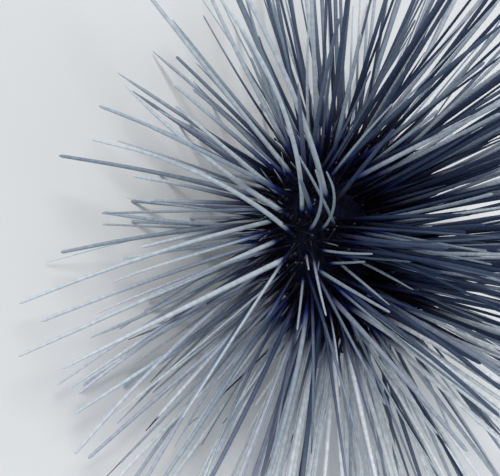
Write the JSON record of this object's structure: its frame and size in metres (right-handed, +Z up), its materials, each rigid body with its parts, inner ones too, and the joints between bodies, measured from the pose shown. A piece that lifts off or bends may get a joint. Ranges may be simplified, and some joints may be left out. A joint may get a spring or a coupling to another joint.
{
  "type": "atlantic long-spined sea urchin",
  "caption": "Life-size still model of a long-spined sea urchin: a flattened black test with long, thin, silver-grey spines on every side, standing on its short oral spines.",
  "frame": {"origin": "on the floor, below the middle of the spines' outline; the test's axis stands 6.7 mm to -X and 15.4 mm to -Y of it", "axes": "+Z up, from the mouth to the anal cone; -Y is the front, the side that the picture shows; +X is to the right from there"},
  "size_m": [0.3674, 0.3139, 0.1944],
  "materials": {
    "spines": "satin",
    "shell": "satin",
    "soft_skin": "satin",
    "teeth": "satin"
  },
  "bodies": {
    "root": {"ambulacrum_1": "spines", "ambulacrum_2": "spines", "ambulacrum_3": "spines", "ambulacrum_4": "spines", "ambulacrum_5": "spines", "interambulacrum_1": "spines", "interambulacrum_2": "spines", "interambulacrum_3": "spines", "interambulacrum_4": "spines", "interambulacrum_5": "spines", "genital_plate_1": "shell", "madreporite": "shell", "genital_plate_3": "shell", "genital_plate_4": "shell", "genital_plate_5": "shell", "ocular_plate_1": "shell", "ocular_plate_2": "shell", "ocular_plate_3": "shell", "ocular_plate_4": "shell", "ocular_plate_5": "shell", "anal_cone": "soft_skin", "peristome": "soft_skin", "tooth_1": "teeth", "tooth_2": "teeth", "tooth_3": "teeth", "tooth_4": "teeth", "tooth_5": "teeth"}
  },
  "joints": []
}
